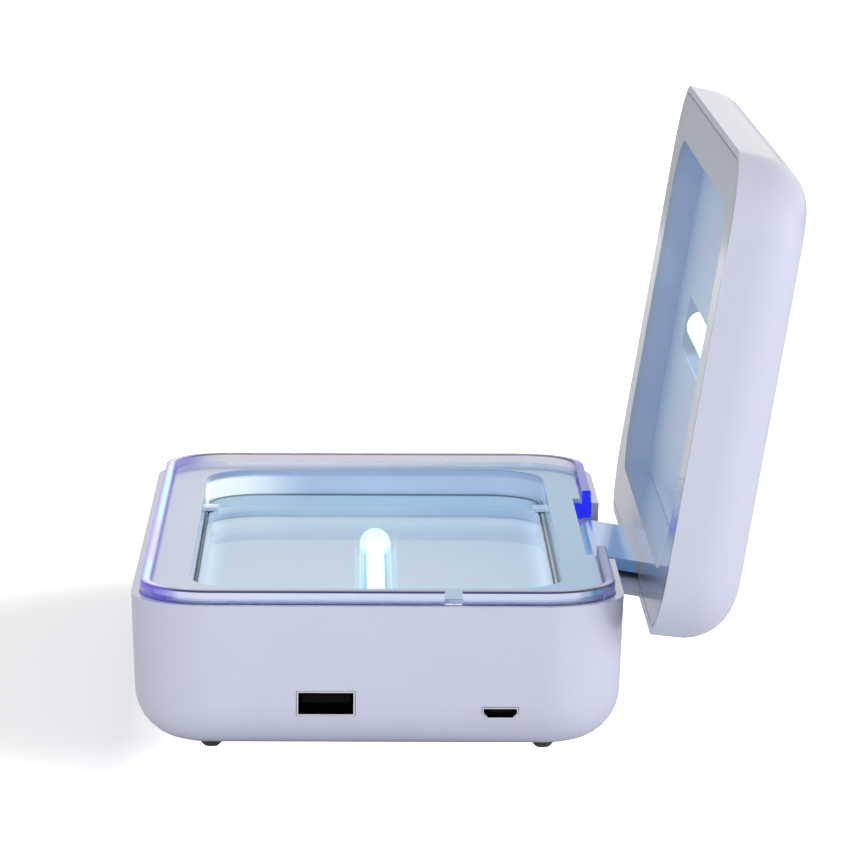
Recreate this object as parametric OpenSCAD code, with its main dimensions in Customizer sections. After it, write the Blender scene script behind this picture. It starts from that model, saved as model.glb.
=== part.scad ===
// UV sanitizer box for phones, shown with its lid open.
// X runs to the hinge side, Y to the back and Z up, in millimetres.
// The origin is the centre of the flat underside of the base.

/* [Box] */
// Width of the base and the lid, from the free side to the hinge side
box_w = 112; // [106:1:124]
// Length of the base and the lid, along the hinge
box_l = 198; // [192:1:214]
// Radius of the corners seen from above
corner_r = 18.5; // [17:0.5:20]
// Height of the base from its underside to its top edge
base_h = 33.4; // [32:0.2:38]
// Thickness of the lid
lid_h = 17.6; // [17.2:0.2:20]
// Radius of the long soft edge under the base and over the lid
edge_r = 12; // [10:0.5:12.5]
// How far the base's walls lean in, from the open edge to the soft edge
lean = 0.8; // [0.4:0.1:1.2]
// How far the lid's walls lean in
lid_lean = 0.3; // [0.2:0.1:0.5]
// Thickness of the outer walls
wall = 1.85; // [1.6:0.05:2.1]

/* [Light ring] */
// How far the clear ring stands above the base's edge
ring_rise = 3.1; // [2.4:0.1:3.6]
// How far the ring reaches down inside the base
ring_depth = 3.8; // [3.6:0.1:4.6]
// Thickness of the ring's upright wall
ring_wall = 2.2; // [1.8:0.1:2.4]
// Width of the foot that takes in the light
ring_foot = 2.5; // [2:0.1:2.8]
// Width of the cable notch in the ring
notch_w = 4; // [3:0.5:8]
// Place of the cable notch, from the middle
notch_x = 17; // [5:1:26]

/* [Tray] */
// Width of the deck along the two long sides of the opening
side_deck = 13; // [12.5:0.5:14]
// Width of the deck at the two ends of the opening
end_deck = 17; // [16:0.5:21]
// Corner radius of the opening
tray_r = 14.5; // [13:0.5:16]
// Height of the deck above the base's edge
deck_rise = 1; // [0.6:0.1:1.4]
// Thickness of the deck
deck_t = 1.2; // [1:0.1:1.6]
// Depth of the glass below the base's edge
glass_drop = 5.3; // [4.6:0.1:6]
// Thickness of the glass
glass_t = 3; // [2:0.5:3.5]
// Gap all round the glass
glass_gap = 0.7; // [0.4:0.1:1]
// Depth of the reflector's floor below the base's edge
floor_drop = 12; // [11:0.5:13]

/* [Lamps] */
// Diameter of a lamp's outer glass
jacket_d = 7.8; // [7:0.2:8]
// Diameter of the glowing tube inside it
core_d = 4.4; // [3.6:0.2:4.8]
// Wall of the outer glass
jacket_wall = 0.7; // [0.5:0.1:0.9]
// Radius of the trough behind the base lamp
trough_r = 5.2; // [5:0.1:5.4]
// Where the base lamp's domed end is, from the middle
base_lamp_tip = 64; // [50:1:66]
// Where the lid lamp's domed end is, from the middle
lid_lamp_tip = 46; // [34:1:60]
// Where both lamps' plugged ends are, from the middle
lamp_root = -62; // [-66:1:-50]
// Width of the pocket behind the lid's lamp
lid_pocket_w = 13.2; // [12:0.2:15]
// Depth of the base lamp below the base's edge
base_lamp_drop = 14.5; // [14:0.1:15]
// Depth of the lid lamp behind the lid's open face
lid_lamp_depth = 10.6; // [10.2:0.1:10.7]

/* [Lid] */
// Gap between the closed lid and the ring
lid_gap = 0.3; // [0.2:0.1:0.6]
// Depth of the lid's hollow
hollow_d = 7.4; // [7:0.1:7.8]
// Angle at which the open lid leans on its stop
lid_angle = 99.5; // [92:0.5:104]

/* [Hinge] */
// Distance of the hinge pin from the base's outer wall
pin_in = 2.46; // [2.2:0.02:2.7]
// Depth of the hinge pin below the base's edge
pin_drop = 5.5; // [5.2:0.1:6]
// Diameter of the hinge pin
pin_d = 3; // [2.6:0.1:3.2]
// Radius of the tongue's barrel round the pin
barrel_r = 3.6; // [3.4:0.1:3.8]
// Width of the tongue, along the pin
tongue_w = 48; // [40:1:54]
// Thickness of the tongue
tongue_t = 2.8; // [2.4:0.1:3]
// Width of the notch in the base for the hinge
hinge_w = 77; // [72:1:80]
// Width of each ear that carries the pin
ear_w = 5.6; // [4:0.2:6]
// Gap between parts that move past each other
move_gap = 0.4; // [0.3:0.1:0.5]

/* [Sockets] */
// Width of the large charging socket
usb_w = 13.1; // [13:0.1:13.3]
// Height of the large charging socket
usb_h = 5.6; // [5.5:0.1:5.8]
// Place of the large socket, from the middle
usb_x = -11.6; // [-16:0.2:-8]
// Width of the small power socket
micro_w = 8.1; // [7.8:0.1:8.4]
// Height of the small power socket
micro_h = 2.6; // [2.5:0.1:2.9]
// Place of the small socket, from the middle
micro_x = 27.6; // [24:0.2:28]
// Height of the small socket's middle above the underside
micro_z = 9; // [8.8:0.1:9.4]
// Gap round each socket in its cut-out
socket_gap = 0.15; // [0.1:0.05:0.25]
// Height of the circuit board's top face above the underside
board_top = 8.1; // [7.9:0.1:8.4]

/* [Start button] */
// Diameter of the start button
button_d = 14; // [10:1:16]
// How far the button goes in
button_travel = 0.6; // [0.4:0.1:0.8]
// Place of the button, from the middle towards the free side
button_x = 30; // [26:1:32]

/* [Feet] */
// Distance of each foot's middle from the box's long side
foot_side = 18.3; // [18.2:0.1:20]
// Distance of each foot's middle from the box's end
foot_end = 16; // [16:0.5:20]
// Height of each rubber foot
foot_h = 1.8; // [1.4:0.1:2.4]
// Diameter of each foot where it meets the box
foot_d = 5.4; // [5:0.1:5.6]

/* [Hidden] */

fine = 96;
mid = 48;
tiny = 0.01;

// The opening that a phone lies in, and the feet's distances
tray_w = box_w - 2 * side_deck;
tray_l = box_l - 2 * end_deck;
feet_x = box_w - 2 * foot_side;
feet_y = box_l - 2 * foot_end;

// Heights of the base's parts
ring_top = base_h + ring_rise;
ring_low = base_h - ring_depth;
deck_top = base_h + deck_rise;
deck_low = deck_top - deck_t;
glass_top = base_h - glass_drop;
glass_low = glass_top - glass_t;
sheet = 0.6;
flange_t = 0.8;
floor_z = base_h - floor_drop;
base_lamp_z = base_h - base_lamp_drop;
board_t = 1.6;

// Insets of the ring, the deck and the light strip from the box's outline
ring_gap = 0.05;
ring_in = wall + ring_gap + lean * ring_depth / (base_h - edge_r);
foot_in = ring_in + ring_wall;
strip_in = foot_in + ring_foot;
deck_in = foot_in + 0.35;
led_t = 0.5;
strip_t = 0.5;
tray_wall = 1.6;

// Lid, drawn closed and then turned open about the pin
lid_low = ring_top + lid_gap;
lid_top = lid_low + lid_h;
lid_roof = lid_top - wall;
rim_t = 1.6;
flange_in = wall + 0.1 + lid_lean * rim_t / (lid_h - edge_r);
lid_floor = lid_low + hollow_d;
lid_plate_t = 1.6;
lid_lamp_z = lid_low + lid_lamp_depth;
lid_sheet = 0.45;
lid_pocket_z = lid_roof - lid_sheet - 0.15;
lid_socket_r = lid_pocket_z - lid_lamp_z;

// Hinge
pin_x = box_w / 2 - pin_in;
pin_z = base_h - pin_drop;
pin_fit = 0.05;
barrel_out = pin_in - 0.25;
notch_in = pin_x - barrel_r - move_gap - 0.1;
notch_low = pin_z - barrel_r - move_gap;
ear_r = min(2.6, barrel_r - 0.8);
ear_y = tongue_w / 2 + move_gap;
wing_y = ear_y + ear_w + move_gap;
skirt_w = hinge_w - 2 * move_gap;
skirt_out = pin_in - 0.2;
skirt_in = pin_in - wall;
wing_drop = sqrt(pow(barrel_r + move_gap, 2) - pow(skirt_out, 2)) - move_gap;
web_t = 2.2;
bracket_z = 9.5;
bracket_t = 2;
bracket_screw_x = box_w / 2 - 16;
bracket_screw_y = 18;

// Button and its switch
button_gap = 0.25;
button_lip = 1.2;
lip_w = 1.2;
board2_z = lid_floor + lid_plate_t + 0.5;
board2_t = 1;
switch_h = 1.7;
plunger_top = board2_z + board2_t + switch_h + 1;
stake_r = 1.8;
stake_y = button_d / 2 + lip_w + move_gap + stake_r + 0.2;

// Screws
screw_r = 1;
head_r = 1.9;
head_h = 1.1;
column_r = 2.9;
column_top = 18;
deck_screw_l = 22;
sensor_y = tray_l / 2 - 24;
boss_r = 2.6;
lid_screw_x = tray_w / 2 - 7;
lid_screw_y = tray_l / 2 - 12;
board_x = box_w / 2 - 23;
board_back = 52;
board_front = -box_l / 2 + wall + lean + 2;
board_screw_y = [-50, -78];
board_screw_x = 28;

// The sphere of which each foot is a slice
foot_flat_r = 1.5;
foot_c = (pow(foot_d / 2, 2) - pow(foot_flat_r, 2) - pow(foot_h, 2)) / (2 * foot_h);
foot_r = sqrt(pow(foot_d / 2, 2) + pow(foot_c, 2));

white = [0.86, 0.87, 0.93];
pale = [0.8, 0.86, 0.93];
steel = [0.75, 0.76, 0.78];

// A rectangle with round corners, seen from above
module rounded_rect(w, l, r) {
    square([w - 2 * r, l], center = true);
    square([w, l - 2 * r], center = true);
    for (x = [-1, 1], y = [-1, 1])
        translate([x * (w / 2 - r), y * (l / 2 - r)]) circle(r, $fn = fine);
}

// The box's own outline, moved in
module outline(inset) {
    rounded_rect(box_w - 2 * inset, box_l - 2 * inset, corner_r - inset);
}

// The same outline with few enough points for a hull
module smooth_outline(inset) {
    for (x = [-1, 1], y = [-1, 1])
        translate([x * (box_w / 2 - corner_r), y * (box_l / 2 - corner_r)])
            circle(corner_r - inset, $fn = 64);
}

// A band that follows the outline between two insets
module band(outer, inner) {
    difference() {
        outline(outer);
        outline(inner);
    }
}

// The tray's opening, grown or shrunk
module tray_shape(grow) {
    rounded_rect(tray_w + 2 * grow, tray_l + 2 * grow, tray_r + grow);
}

// A solid tub with leaning walls and one soft edge at its foot
module tub(inset, h, soft, slope) {
    steps = 8;
    hull() {
        for (k = [0:steps]) {
            angle = 90 * k / steps;
            translate([0, 0, soft * (1 - cos(angle))]) linear_extrude(tiny)
                smooth_outline(inset + slope + soft * (1 - sin(angle)));
        }
        translate([0, 0, h - tiny]) linear_extrude(tiny) smooth_outline(inset);
    }
}

// An open tub with an even wall
module hollow_tub(h, slope) {
    difference() {
        tub(0, h, edge_r, slope);
        translate([0, 0, wall]) tub(wall, h - wall + tiny, edge_r - wall, slope);
    }
}

// Copies at the four places of a rectangle
module at_corners(dx, dy) {
    for (x = [-1, 1], y = [-1, 1]) translate([x * dx, y * dy, 0]) children();
}

// A round bar along Y between two places
module bar_y(r, from, to) {
    translate([0, from, 0]) rotate([-90, 0, 0]) cylinder(to - from, r = r, $fn = mid);
}

// The gap that the hinge needs in the ring, the deck and the strip
module hinge_gap(x, low) {
    translate([x, -hinge_w / 2, low]) cube([box_w, hinge_w, 2 * base_h]);
}

// Turns what is drawn closed to the open lid's place
module opened() {
    translate([pin_x, 0, pin_z]) rotate([0, lid_angle, 0]) translate([-pin_x, 0, -pin_z]) children();
}

module micro_shape(grow) {
    w = micro_w / 2 + grow;
    h = micro_h / 2 + grow;
    polygon([[-w, h], [w, h], [w, 0], [w - h, -h], [h - w, -h], [-w, 0]]);
}

module base_shell() {
    color(white) difference() {
        union() {
            hollow_tub(base_h, lean);
            // Columns that the deck's screws go through
            at_corners(feet_x / 2, feet_y / 2) translate([0, 0, wall - tiny])
                cylinder(column_top - wall + tiny, r = column_r, $fn = mid);
            // Posts under the circuit board
            for (x = [-1, 1], y = board_screw_y)
                translate([x * board_screw_x, y, wall - tiny])
                    cylinder(board_top - board_t - wall + tiny, r = boss_r, $fn = mid);
            // Posts under the hinge bracket
            for (y = [-1, 1])
                translate([bracket_screw_x, y * bracket_screw_y, wall - tiny])
                    cylinder(bracket_z - wall + tiny, r = boss_r, $fn = mid);
            // Ledge that the ring stands on
            translate([0, 0, ring_low - 1.6]) linear_extrude(1.6) band(wall - 0.2, foot_in - 0.2);
        }
        hinge_gap(notch_in, notch_low);
        translate([usb_x, -box_l / 2, board_top + 0.2 + usb_h / 2])
            cube([usb_w + 2 * socket_gap, 4 * wall, usb_h + 2 * socket_gap], center = true);
        translate([micro_x, -box_l / 2 + 2 * wall, micro_z]) rotate([90, 0, 0])
            linear_extrude(4 * wall) micro_shape(socket_gap);
        at_corners(feet_x / 2, feet_y / 2) {
            translate([0, 0, -1]) cylinder(column_top + 2, r = screw_r + 0.3, $fn = mid);
            translate([0, 0, -1]) cylinder(4, r = head_r + 0.2, $fn = mid);
        }
        for (x = [-1, 1], y = board_screw_y)
            translate([x * board_screw_x, y, wall]) cylinder(board_top, r = screw_r, $fn = mid);
        for (y = [-1, 1])
            translate([bracket_screw_x, y * bracket_screw_y, wall]) cylinder(bracket_z, r = screw_r, $fn = mid);
    }
}

module light_ring() {
    color([0.75, 0.72, 1, 0.5]) difference() {
        union() {
            translate([0, 0, ring_low]) linear_extrude(ring_top - ring_low) band(ring_in, foot_in);
            translate([0, 0, ring_low]) linear_extrude(deck_low - ring_low) band(ring_in, strip_in);
        }
        hinge_gap(notch_in - 2, 0);
        translate([notch_x - notch_w / 2, -box_l / 2, base_h])
            cube([notch_w, strip_in + 1, ring_rise + 1]);
    }
}

module tray_deck() {
    tab = 3.1;
    tab_y = tray_l / 2 - 26;
    color(pale) difference() {
        union() {
            translate([0, 0, deck_low]) linear_extrude(deck_t) difference() {
                outline(deck_in);
                tray_shape(0);
            }
            translate([0, 0, glass_low]) linear_extrude(deck_top - glass_low) difference() {
                tray_shape(tray_wall);
                tray_shape(0);
            }
            // Tabs that hold the glass down
            for (x = [0, 1], y = [-1, 1]) mirror([x, 0, 0])
                translate([tray_w / 2 - tab, y * tab_y - 3, glass_top]) cube([tab + 1, 6, 1.2]);
            // Bosses for the screws that come up through the feet's columns
            at_corners(feet_x / 2, feet_y / 2)
                translate([0, 0, column_top]) cylinder(deck_low - column_top + 0.2, r = boss_r, $fn = mid);
        }
        hinge_gap(notch_in, 0);
        at_corners(feet_x / 2, feet_y / 2)
            translate([0, 0, column_top - 1]) cylinder(12, r = screw_r, $fn = mid);
    }
}

module glass_plate() {
    color([0.7, 0.9, 0.9, 0.4]) translate([-glass_gap / 3, 0, glass_low])
        linear_extrude(glass_t) tray_shape(-glass_gap);
}

// A round-ended trough along Y, open upwards
module trough(r, z, from, to, top) {
    translate([0, 0, z]) {
        bar_y(r, from, to);
        for (y = [from, to]) translate([0, y, 0]) sphere(r, $fn = mid);
        linear_extrude(top - z) {
            translate([-r, from]) square([2 * r, to - from]);
            for (y = [from, to]) translate([0, y]) circle(r, $fn = mid);
        }
    }
}

module base_reflector() {
    rim = 1.2;
    root = lamp_root - 4;
    color([0.86, 0.9, 0.95]) difference() {
        union() {
            translate([0, 0, glass_low - flange_t]) linear_extrude(flange_t) tray_shape(flange_t);
            translate([0, 0, floor_z - sheet]) linear_extrude(glass_low - floor_z + sheet - flange_t / 2)
                tray_shape(-rim);
            trough(trough_r + sheet, base_lamp_z, root, base_lamp_tip, floor_z - sheet / 2);
        }
        translate([0, 0, floor_z]) linear_extrude(glass_low) tray_shape(-rim - sheet);
        trough(trough_r, base_lamp_z, root, base_lamp_tip, floor_z + 1);
    }
}

// Half section of a round-ended bar, standing on its plugged end
module lamp_section(r, length) {
    square([r, length - r]);
    intersection() {
        translate([0, length - r]) circle(r, $fn = mid);
        square([r, length]);
    }
}

module lamp_jacket(tip) {
    translate([0, lamp_root, 0]) rotate([-90, 0, 0]) rotate_extrude($fn = mid) difference() {
        lamp_section(jacket_d / 2, tip - lamp_root);
        translate([0, -jacket_wall]) lamp_section(jacket_d / 2 - jacket_wall, tip - lamp_root);
    }
}

module lamp_core(tip) {
    translate([0, lamp_root, 0]) rotate([-90, 0, 0]) rotate_extrude($fn = mid)
        lamp_section(core_d / 2, tip - lamp_root - 2.4);
}

// Plug on the lamp's leads end
module lamp_socket(r) {
    difference() {
        bar_y(r - 0.1, lamp_root - 4, lamp_root + 6);
        bar_y(jacket_d / 2 + 0.02, lamp_root, lamp_root + 7);
    }
}

// Soft clip that holds the lamp in the trough, open on its lit side
module lamp_saddle(r) {
    difference() {
        bar_y(r - 0.1, -26, -22);
        bar_y(jacket_d / 2 + 0.02, -27, -21);
        translate([-r, -27, jacket_d / 4]) cube([2 * r, 6, r]);
    }
}

module base_lamp_jacket() {
    color([0.85, 0.95, 1, 0.4]) translate([0, 0, base_lamp_z]) lamp_jacket(base_lamp_tip);
}

module base_lamp_core() {
    color([0.9, 1, 1]) translate([0, 0, base_lamp_z]) lamp_core(base_lamp_tip);
}

module base_lamp_socket() {
    color("white") translate([0, 0, base_lamp_z]) lamp_socket(trough_r);
}

module base_lamp_saddle() {
    color("white") translate([0, 0, base_lamp_z]) lamp_saddle(trough_r);
}

module led_strip() {
    color("ivory") difference() {
        translate([0, 0, ring_low + 0.2]) linear_extrude(deck_low - ring_low - 0.4)
            band(strip_in + led_t, strip_in + led_t + strip_t);
        hinge_gap(notch_in - 4, 0);
    }
}

module ring_leds() {
    led_w = 3;
    pitch = 16;
    led_x = box_w / 2 - strip_in - led_t;
    led_y = box_l / 2 - strip_in - led_t;
    led_z = ring_low + 0.9;
    led_h = 1.8;
    color("gold") {
        for (y = [-4:4]) translate([-led_x - led_t, y * pitch - led_w / 2, led_z]) cube([led_t, led_w, led_h]);
        for (y = [-4, -3, 3, 4]) translate([led_x, y * pitch - led_w / 2, led_z]) cube([led_t, led_w, led_h]);
        for (x = [-2:2], y = [0, 1]) mirror([0, y, 0])
            translate([x * pitch - led_w / 2, led_y, led_z]) cube([led_w, led_t, led_h]);
    }
}

module main_board() {
    slot_w = micro_w + 0.6;
    color("darkgreen") difference() {
        translate([-board_x, board_front, board_top - board_t])
            cube([2 * board_x, board_back, board_t]);
        translate([micro_x - slot_w / 2, board_front - 1, 0]) cube([slot_w, 7.5, board_top + 1]);
        for (x = [-1, 1], y = board_screw_y)
            translate([x * board_screw_x, y, 0]) cylinder(board_top + 1, r = screw_r + 0.2, $fn = mid);
    }
}

// Transformer, driver, capacitors and connectors of the lamps' supply
module board_parts() {
    color("dimgray") translate([0, 0, board_top]) {
        translate([8, -72, 0]) cube([14, 11, 4.4]);
        translate([-14, -70, 0]) cube([9, 9, 1.5]);
        for (x = [-24, -17]) translate([x, -58, 0]) cylinder(4.4, r = 2.6, $fn = mid);
        for (x = [-4, 4]) translate([x, -54, 0]) cube([6, 5, 3.6]);
        translate([14, -56, 0]) cube([8, 6, 2.2]);
    }
}

module usb_shell() {
    t = 0.35;
    depth = 14;
    color(steel) translate([usb_x, -box_l / 2 + lean + 0.2, board_top + 0.2 + usb_h / 2])
        rotate([-90, 0, 0]) difference() {
            translate([0, 0, depth / 2]) cube([usb_w, usb_h, depth], center = true);
            translate([0, 0, depth / 2 - t]) cube([usb_w - 2 * t, usb_h - 2 * t, depth], center = true);
        }
}

module usb_tongue() {
    t = 0.35;
    depth = 14;
    color([0.12, 0.12, 0.14]) translate([usb_x, -box_l / 2 + lean + 0.2, board_top + 0.2 + usb_h / 2]) {
        translate([0, depth - t - 1.5, 0]) cube([usb_w - 2 * t, 3, usb_h - 2 * t], center = true);
        translate([0, depth / 2 + 0.3, 0.8]) cube([11.1, depth - 2.6, 1.8], center = true);
    }
}

module micro_shell() {
    t = 0.3;
    depth = 5.6;
    color(steel) translate([micro_x, -box_l / 2 + lean + 0.2 + depth, micro_z]) rotate([90, 0, 0]) difference() {
        linear_extrude(depth) micro_shape(0);
        translate([0, 0, t]) linear_extrude(depth) micro_shape(-t);
    }
}

module micro_tongue() {
    depth = 5.6;
    color([0.12, 0.12, 0.14]) translate([micro_x, -box_l / 2 + lean + 0.2, micro_z + 0.35]) {
        translate([0, depth / 2 + 0.4, 0]) cube([5.2, depth - 1.4, 0.6], center = true);
    }
}

module hinge_bracket() {
    finger_x = barrel_r;
    color("silver") difference() {
        union() {
            for (y = [0, 1]) mirror([0, y, 0]) {
                // Ear round the pin, cut flush with the box's wall
                intersection() {
                    translate([pin_x, 0, pin_z]) bar_y(ear_r, ear_y, ear_y + ear_w);
                    cube([pin_x + barrel_out, box_l, box_w]);
                }
                translate([pin_x - ear_r - 0.4, ear_y, bracket_z]) cube([web_t, ear_w, pin_z - bracket_z]);
                // Finger that stops the lid's wing when the lid is open
                translate([pin_x - finger_x, ear_y + 1, pin_z + 0.4]) cube([2.2, ear_w + 3, 1.8]);
            }
            translate([bracket_screw_x - 5, -ear_y - ear_w, bracket_z])
                cube([pin_x - ear_r - 0.4 + web_t - bracket_screw_x + 5, 2 * (ear_y + ear_w), bracket_t]);
        }
        translate([pin_x, 0, pin_z]) bar_y(pin_d / 2 + 0.02, -box_w, box_w);
        for (y = [-1, 1])
            translate([bracket_screw_x, y * bracket_screw_y, 0])
                cylinder(base_h, r = screw_r + 0.2, $fn = mid);
    }
}

module hinge_pin() {
    color(steel) translate([pin_x, 0, pin_z]) bar_y(pin_d / 2, -ear_y - ear_w, ear_y + ear_w);
}

// A screw that points down, with the underside of its head at the origin
module screw(length) {
    difference() {
        union() {
            cylinder(head_h, r = head_r, $fn = mid);
            translate([0, 0, -length]) cylinder(length + tiny, r = screw_r - 0.02, $fn = mid);
        }
        translate([0, 0, head_h - 0.6]) {
            cube([0.5, 2.4, 1.3], center = true);
            cube([2.4, 0.5, 1.3], center = true);
        }
    }
}

module bracket_screws() {
    color(steel) for (y = [-1, 1])
        translate([bracket_screw_x, y * bracket_screw_y, bracket_z + bracket_t]) screw(7);
}

module board_screws() {
    color(steel) for (x = [-1, 1], y = board_screw_y)
        translate([x * board_screw_x, y, board_top]) screw(5);
}

module deck_screws() {
    color(steel) at_corners(feet_x / 2, feet_y / 2)
        translate([0, 0, 3]) rotate([180, 0, 0]) screw(deck_screw_l);
}

module feet() {
    color([0.06, 0.06, 0.07]) at_corners(feet_x / 2, feet_y / 2) intersection() {
        translate([0, 0, foot_c]) sphere(foot_r, $fn = fine);
        translate([0, 0, -foot_h]) cylinder(foot_h, r = foot_d, $fn = mid);
    }
}

module lid_sensor() {
    color("dimgray") translate([-tray_w / 2 - tray_wall - 0.3 - 3, sensor_y, deck_low - 1.4]) cube([3, 4, 1.4]);
}

// Lid

module lid_shell() {
    pin_to_lip = lid_low - pin_z;
    color(white) opened() difference() {
        union() {
            translate([0, 0, lid_top]) mirror([0, 0, 1]) hollow_tub(lid_h, lid_lean);
            // Skirt that closes the hinge notch, with a wing at each end
            translate([pin_x + skirt_in, -skirt_w / 2, pin_z + barrel_r + move_gap])
                cube([skirt_out - skirt_in, skirt_w, pin_to_lip - barrel_r]);
            for (y = [0, 1]) mirror([0, y, 0])
                translate([pin_x + skirt_in, wing_y, pin_z - wing_drop])
                    cube([skirt_out - skirt_in, skirt_w / 2 - wing_y, pin_to_lip + wing_drop]);
            // Posts for the frame's screws
            at_corners(lid_screw_x, lid_screw_y)
                translate([0, 0, lid_floor + lid_plate_t])
                    cylinder(lid_roof - lid_floor - lid_plate_t + tiny, r = boss_r, $fn = mid);
            // Posts with stakes for the button's switch board
            for (y = [-1, 1]) translate([-button_x, y * stake_y, 0]) {
                translate([0, 0, board2_z + board2_t])
                    cylinder(lid_roof - board2_z - board2_t + tiny, r = stake_r, $fn = mid);
                translate([0, 0, board2_z - 0.2]) cylinder(3, r = 0.9, $fn = mid);
            }
        }
        at_corners(lid_screw_x, lid_screw_y)
            translate([0, 0, lid_floor]) cylinder(lid_roof - lid_floor - 0.6, r = screw_r, $fn = mid);
        translate([-button_x, 0, lid_low]) cylinder(lid_h * 2, r = button_d / 2 + button_gap, $fn = fine);
    }
}

module lid_frame() {
    wall_t = 1.2;
    color(white) opened() difference() {
        union() {
            translate([0, 0, lid_low]) linear_extrude(rim_t) difference() {
                outline(flange_in);
                tray_shape(0);
            }
            translate([0, 0, lid_low]) linear_extrude(hollow_d + lid_plate_t) difference() {
                tray_shape(wall_t);
                tray_shape(0);
            }
            translate([0, 0, lid_floor]) linear_extrude(lid_plate_t) difference() {
                tray_shape(wall_t / 2);
                lamp_pocket(lid_sheet + 0.2);
            }
            // Tongue and its barrel
            translate([pin_x - barrel_r, -tongue_w / 2, pin_z])
                cube([tongue_t, tongue_w, lid_low - pin_z + rim_t / 2]);
            intersection() {
                translate([pin_x, 0, pin_z]) bar_y(barrel_r, -tongue_w / 2, tongue_w / 2);
                translate([0, -box_l / 2, 0]) cube([pin_x + barrel_out, box_l, box_w]);
            }
        }
        translate([pin_x, 0, pin_z]) bar_y(pin_d / 2 + pin_fit, -box_w, box_w);
        at_corners(lid_screw_x, lid_screw_y) {
            translate([0, 0, lid_floor - 1]) cylinder(lid_h, r = screw_r + 0.2, $fn = mid);
            translate([0, 0, lid_floor - 1]) cylinder(1 + head_h + 0.05, r = head_r + 0.2, $fn = mid);
        }
    }
}

// Outline of the round-ended pocket behind the lid's lamp
module lamp_pocket(grow) {
    r = lid_pocket_w / 2 + grow;
    root = lamp_root - 4;
    translate([-r, root]) square([2 * r, lid_lamp_tip - root]);
    for (y = [root, lid_lamp_tip]) translate([0, y]) circle(r, $fn = fine);
}

module lid_reflector() {
    low = lid_floor - sheet;
    color(pale) opened() difference() {
        union() {
            translate([0, 0, low]) linear_extrude(sheet) tray_shape(-0.2);
            translate([0, 0, low]) linear_extrude(lid_pocket_z + lid_sheet - low) lamp_pocket(lid_sheet);
        }
        translate([0, 0, low - 1]) linear_extrude(lid_pocket_z - low + 1) lamp_pocket(0);
    }
}

module lid_lamp_jacket() {
    color([0.85, 0.95, 1, 0.4]) opened() translate([0, 0, lid_lamp_z]) lamp_jacket(lid_lamp_tip);
}

module lid_lamp_core() {
    color([0.9, 1, 1]) opened() translate([0, 0, lid_lamp_z]) lamp_core(lid_lamp_tip);
}

module lid_lamp_socket() {
    color("white") opened() translate([0, 0, lid_lamp_z]) lamp_socket(lid_socket_r);
}

module lid_lamp_saddle() {
    color("white") opened() translate([0, 0, lid_lamp_z]) mirror([0, 0, 1]) lamp_saddle(lid_socket_r);
}

module lid_screws() {
    color(steel) opened() at_corners(lid_screw_x, lid_screw_y)
        translate([0, 0, lid_floor + head_h]) rotate([180, 0, 0]) screw(5);
}

module lid_magnet() {
    color(steel) opened() translate([-(box_w + tray_w) / 4 + 0.5, sensor_y + 2, lid_low + rim_t])
        cylinder(2, r = 3, $fn = mid);
}

module switch_board() {
    color("darkgreen") opened() translate([-button_x, 0, board2_z]) difference() {
        translate([-5, -stake_y - 2.5, 0]) cube([10, 2 * stake_y + 5, board2_t]);
        for (y = [-1, 1]) translate([0, y * stake_y, -1]) cylinder(board2_t + 2, r = 0.95, $fn = mid);
    }
}

module switch_body() {
    color([0.15, 0.15, 0.16]) opened() translate([-button_x, 0, board2_z + board2_t]) difference() {
        translate([-3, -3, 0]) cube([6, 6, switch_h]);
        translate([0, 0, 0.5]) cylinder(switch_h, r = 1.9, $fn = mid);
    }
}

module start_button() {
    r = button_d / 2;
    color("white") opened() translate([-button_x, 0, 0]) {
        difference() {
            translate([0, 0, lid_roof - button_lip]) cylinder(lid_top - lid_roof + button_lip + 0.5, r = r, $fn = fine);
            // Shallow dish for the fingertip
            translate([0, 0, lid_top + 0.1 + 60]) sphere(60, $fn = fine);
        }
        translate([0, 0, lid_roof - button_lip - 0.2]) cylinder(button_lip, r = r + lip_w, $fn = fine);
        translate([0, 0, plunger_top]) cylinder(lid_roof - plunger_top - button_lip, r = 1.7, $fn = mid);
    }
}

module switch_plunger() {
    low = board2_z + board2_t + 0.5 + button_travel + 0.1;
    color([0.1, 0.1, 0.1]) opened() translate([-button_x, 0, low]) cylinder(plunger_top - low, r = 1.7, $fn = mid);
}

base_shell();
light_ring();
tray_deck();
glass_plate();
base_reflector();
base_lamp_jacket();
base_lamp_core();
base_lamp_socket();
base_lamp_saddle();
led_strip();
ring_leds();
main_board();
board_parts();
usb_shell();
usb_tongue();
micro_shell();
micro_tongue();
hinge_bracket();
hinge_pin();
bracket_screws();
board_screws();
deck_screws();
feet();
lid_sensor();
lid_shell();
lid_frame();
lid_reflector();
lid_lamp_jacket();
lid_lamp_core();
lid_lamp_socket();
lid_lamp_saddle();
lid_screws();
lid_magnet();
switch_board();
switch_body();
start_button();
switch_plunger();
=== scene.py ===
import math

import bpy
from bpy.props import FloatProperty, FloatVectorProperty, PointerProperty
from mathutils import Matrix, Vector


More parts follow.
